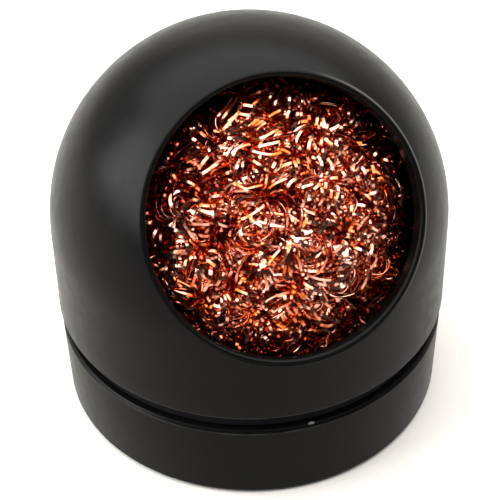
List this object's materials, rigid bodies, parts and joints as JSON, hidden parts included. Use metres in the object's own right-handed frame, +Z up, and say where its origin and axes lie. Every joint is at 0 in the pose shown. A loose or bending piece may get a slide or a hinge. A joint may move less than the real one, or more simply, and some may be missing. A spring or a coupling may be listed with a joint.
{
  "type": "soldering tip cleaner",
  "caption": "Ball-shaped black hood with a slanted round mouth on a drum base, filled with curled copper-coloured metal ribbon for wiping a soldering tip.",
  "frame": {"origin": "centre of the foot pad's underside, on the table", "axes": "+Z up along the axis that the hood turns about; the slanted mouth faces -Y and up"},
  "size_m": [0.07, 0.07, 0.0713],
  "materials": {
    "hood_plastic": "satin",
    "case_plastic": "satin",
    "ring_rubber": "matte",
    "foot_rubber": "matte",
    "ballast_steel": "satin",
    "screw_steel": "satin",
    "tray_tinplate": "satin",
    "wool_ribbon": "polished"
  },
  "bodies": {
    "base": {"base_cup": "case_plastic", "foot_pad": "foot_rubber", "ballast_disc": "ballast_steel", "ballast_screw_1": "screw_steel", "ballast_screw_2": "screw_steel", "ballast_screw_3": "screw_steel", "dross_tray": "tray_tinplate", "wire_wool": "wool_ribbon"},
    "ring": {"seam_ring": "ring_rubber"},
    "hood": {"hood_shell": "hood_plastic"}
  },
  "joints": [
    {"name": "hood_turn", "type": "hinge", "parent": "base", "child": "ring", "pos_m": [0, 0, 0.01765], "axis": [0, 0, 1], "continuous": true},
    {"name": "hood_lift", "type": "slide", "parent": "ring", "child": "hood", "axis": [0, 0, 1], "range_m": [0, 0.06]}
  ]
}
